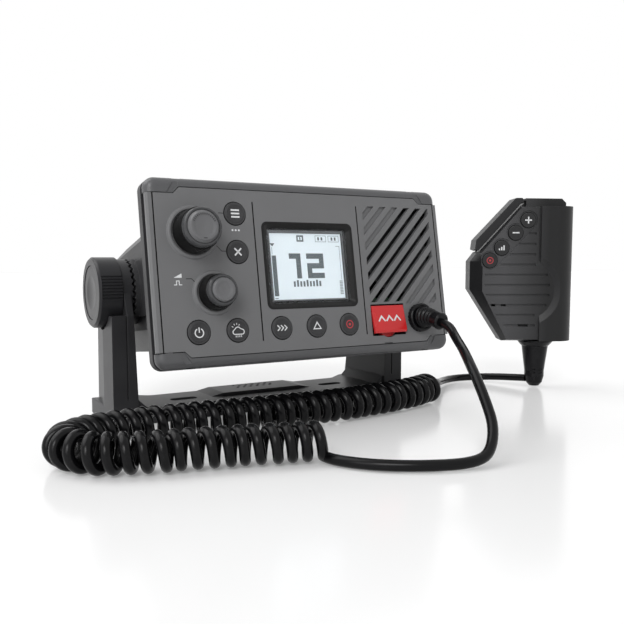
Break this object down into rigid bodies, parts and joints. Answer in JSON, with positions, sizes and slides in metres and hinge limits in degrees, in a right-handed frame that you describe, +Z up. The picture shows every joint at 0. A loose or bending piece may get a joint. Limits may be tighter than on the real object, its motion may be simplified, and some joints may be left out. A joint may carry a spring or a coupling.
{
  "type": "fixed mount marine vhf radio",
  "caption": "Marine VHF radio with display, knobs, keys and speaker grille, tilting on a toothed gimbal bracket, with a curly cord and a hand microphone.",
  "frame": {"origin": "midway between the two mounting slots, on the underside of the bracket", "axes": "+X to the right of a person who faces the display, +Y away from that person, +Z up"},
  "size_m": [0.3686, 0.2461, 0.1364],
  "materials": {
    "bracket_plastic": "satin moulded",
    "clamp_plastic": "satin moulded",
    "panel_grey": "fine satin texture",
    "trim_grey": "satin",
    "key_rubber": "satin",
    "knob_black": "semi gloss",
    "knob_grey": "satin",
    "cap_grey": "satin",
    "signal_red": "semi gloss",
    "window_glass": "clear",
    "module_black": "matt",
    "gasket_rubber": "matt",
    "housing_metal": "satin coat",
    "steel": "plain",
    "socket_metal": "nickel plate",
    "board_green": "solder mask",
    "speaker_black": "matt",
    "plug_black": "satin",
    "cord_black": "semi gloss",
    "handset_grey": "fine satin texture",
    "handset_key_grey": "satin",
    "bar_black": "satin"
  },
  "bodies": {
    "root": {"gimbal_bracket": "bracket_plastic", "coil_cord": "cord_black", "plug_lead": "cord_black", "handset_lead": "cord_black", "handset_front_shell": "handset_grey", "handset_rear_shell": "handset_grey", "handset_board": "board_green", "handset_speaker": "speaker_black", "handset_microphone": "speaker_black", "handset_strain_relief": "plug_black", "handset_hang_stud": "bar_black"},
    "radio": {"face_panel": "panel_grey", "top_lip": "trim_grey", "bottom_lip": "trim_grey", "display_window": "window_glass", "display_module": "module_black", "key_mat": "key_rubber", "cover_hinge_pin": "steel", "mic_socket": "socket_metal", "mic_plug": "plug_black", "rotary_encoders": "module_black", "loudspeaker": "speaker_black", "control_board": "board_green", "radio_board": "board_green", "case_gasket": "gasket_rubber", "pivot_inserts": "steel", "case_screws": "steel", "rear_housing": "housing_metal", "antenna_socket": "socket_metal", "power_socket": "plug_black", "data_socket": "plug_black"},
    "right_washer": {"right_clamp_washer": "steel"},
    "right_knob": {"right_clamp_knob": "clamp_plastic", "right_knob_disc": "clamp_plastic"},
    "left_washer": {"left_clamp_washer": "steel"},
    "left_knob": {"left_clamp_knob": "clamp_plastic", "left_knob_disc": "clamp_plastic"},
    "menu_key": {"menu_key": "key_rubber"},
    "cancel_key": {"cancel_key": "key_rubber"},
    "power_key": {"power_key": "key_rubber"},
    "weather_key": {"weather_key": "key_rubber"},
    "scan_key": {"scan_key": "key_rubber"},
    "tri_watch_key": {"tri_watch_key": "key_rubber"},
    "channel_key": {"channel_key": "key_rubber"},
    "channel_shaft": {"channel_shaft": "steel"},
    "channel_knob": {"channel_knob": "knob_grey", "channel_knob_grip": "knob_black", "channel_knob_cap": "cap_grey"},
    "volume_shaft": {"volume_shaft": "steel"},
    "volume_knob": {"volume_knob": "knob_grey", "volume_knob_grip": "knob_black", "volume_knob_cap": "cap_grey"},
    "distress_cover": {"distress_cover": "signal_red"},
    "distress_button": {"distress_button": "signal_red"},
    "mic_lock_ring": {"mic_lock_ring": "plug_black"},
    "transmit_bar": {"transmit_bar": "bar_black"},
    "handset_plus_key": {"handset_plus_key": "handset_key_grey"},
    "handset_minus_key": {"handset_minus_key": "handset_key_grey"},
    "handset_level_key": {"handset_level_key": "handset_key_grey"},
    "handset_channel_key": {"handset_channel_key": "handset_key_grey"}
  },
  "joints": [
    {"name": "radio_tilt", "type": "hinge", "parent": "root", "child": "radio", "pos_m": [0, 0.006, 0.0743], "axis": [-1, 0, 0], "range_deg": [-12, 24], "deforming": ["plug_lead"]},
    {"name": "right_washer_slide", "type": "slide", "parent": "radio", "child": "right_washer", "axis": [1, 0, 0], "range_m": [0, 0.0025]},
    {"name": "right_clamp_turn", "type": "hinge", "parent": "right_washer", "child": "right_knob", "pos_m": [0.0979, 0.006, 0.0743], "axis": [1, 0, 0], "range_deg": [0, 720]},
    {"name": "left_washer_slide", "type": "slide", "parent": "radio", "child": "left_washer", "axis": [-1, 0, 0], "range_m": [0, 0.0025]},
    {"name": "left_clamp_turn", "type": "hinge", "parent": "left_washer", "child": "left_knob", "pos_m": [-0.0979, 0.006, 0.0743], "axis": [-1, 0, 0], "range_deg": [0, 720]},
    {"name": "menu_key_press", "type": "slide", "parent": "radio", "child": "menu_key", "axis": [0, 0.9848, -0.1736], "range_m": [0, 0.0008], "stiffness_N_per_m": 900, "springref_m": -0.0008},
    {"name": "cancel_key_press", "type": "slide", "parent": "radio", "child": "cancel_key", "axis": [0, 0.9848, -0.1736], "range_m": [0, 0.0008], "stiffness_N_per_m": 900, "springref_m": -0.0008},
    {"name": "power_key_press", "type": "slide", "parent": "radio", "child": "power_key", "axis": [0, 0.9848, -0.1736], "range_m": [0, 0.0008], "stiffness_N_per_m": 900, "springref_m": -0.0008},
    {"name": "weather_key_press", "type": "slide", "parent": "radio", "child": "weather_key", "axis": [0, 0.9848, -0.1736], "range_m": [0, 0.0008], "stiffness_N_per_m": 900, "springref_m": -0.0008},
    {"name": "scan_key_press", "type": "slide", "parent": "radio", "child": "scan_key", "axis": [0, 0.9848, -0.1736], "range_m": [0, 0.0008], "stiffness_N_per_m": 900, "springref_m": -0.0008},
    {"name": "tri_watch_key_press", "type": "slide", "parent": "radio", "child": "tri_watch_key", "axis": [0, 0.9848, -0.1736], "range_m": [0, 0.0008], "stiffness_N_per_m": 900, "springref_m": -0.0008},
    {"name": "channel_key_press", "type": "slide", "parent": "radio", "child": "channel_key", "axis": [0, 0.9848, -0.1736], "range_m": [0, 0.0008], "stiffness_N_per_m": 900, "springref_m": -0.0008},
    {"name": "channel_turn", "type": "hinge", "parent": "radio", "child": "channel_shaft", "pos_m": [-0.0692, -0.06337, 0.10704], "axis": [0, 0.9848, -0.1736], "continuous": true},
    {"name": "channel_push", "type": "slide", "parent": "channel_shaft", "child": "channel_knob", "axis": [0, 0.9848, -0.1736], "range_m": [0, 0.0008], "stiffness_N_per_m": 1200, "springref_m": -0.0008},
    {"name": "volume_turn", "type": "hinge", "parent": "radio", "child": "volume_shaft", "pos_m": [-0.06, -0.0688, 0.07622], "axis": [0, 0.9848, -0.1736], "continuous": true},
    {"name": "volume_push", "type": "slide", "parent": "volume_shaft", "child": "volume_knob", "axis": [0, 0.9848, -0.1736], "range_m": [0, 0.0008], "stiffness_N_per_m": 1200, "springref_m": -0.0008},
    {"name": "distress_cover_lift", "type": "hinge", "parent": "radio", "child": "distress_cover", "pos_m": [0.048, -0.06952, 0.06467], "axis": [-1, 0, 0], "range_deg": [0, 100], "stiffness_Nm_per_rad": 0.002, "springref_deg": -17.19},
    {"name": "distress_press", "type": "slide", "parent": "radio", "child": "distress_button", "axis": [0, 0.9848, -0.1736], "range_m": [0, 0.001], "stiffness_N_per_m": 1000, "springref_m": -0.0008},
    {"name": "mic_ring_turn", "type": "hinge", "parent": "radio", "child": "mic_lock_ring", "pos_m": [0.0708, -0.07395, 0.05854], "axis": [0, 0.9848, -0.1736], "range_deg": [0, 60]},
    {"name": "transmit_press", "type": "slide", "parent": "root", "child": "transmit_bar", "axis": [0.637, -0.3828, -0.6691], "range_m": [0, 0.0015], "stiffness_N_per_m": 1500, "springref_m": -0.001},
    {"name": "handset_plus_key_press", "type": "slide", "parent": "root", "child": "handset_plus_key", "axis": [0.515, 0.8572, 0], "range_m": [0, 0.0007], "stiffness_N_per_m": 900, "springref_m": -0.0008},
    {"name": "handset_minus_key_press", "type": "slide", "parent": "root", "child": "handset_minus_key", "axis": [0.515, 0.8572, 0], "range_m": [0, 0.0007], "stiffness_N_per_m": 900, "springref_m": -0.0008},
    {"name": "handset_level_key_press", "type": "slide", "parent": "root", "child": "handset_level_key", "axis": [0.515, 0.8572, 0], "range_m": [0, 0.0007], "stiffness_N_per_m": 900, "springref_m": -0.0008},
    {"name": "handset_channel_key_press", "type": "slide", "parent": "root", "child": "handset_channel_key", "axis": [0.515, 0.8572, 0], "range_m": [0, 0.0007], "stiffness_N_per_m": 900, "springref_m": -0.0008}
  ],
  "couplings": [
    {"joint": "right_washer_slide", "follows": "right_clamp_turn", "m_per_rad": 0.00019894},
    {"joint": "left_washer_slide", "follows": "left_clamp_turn", "m_per_rad": 0.00019894}
  ]
}
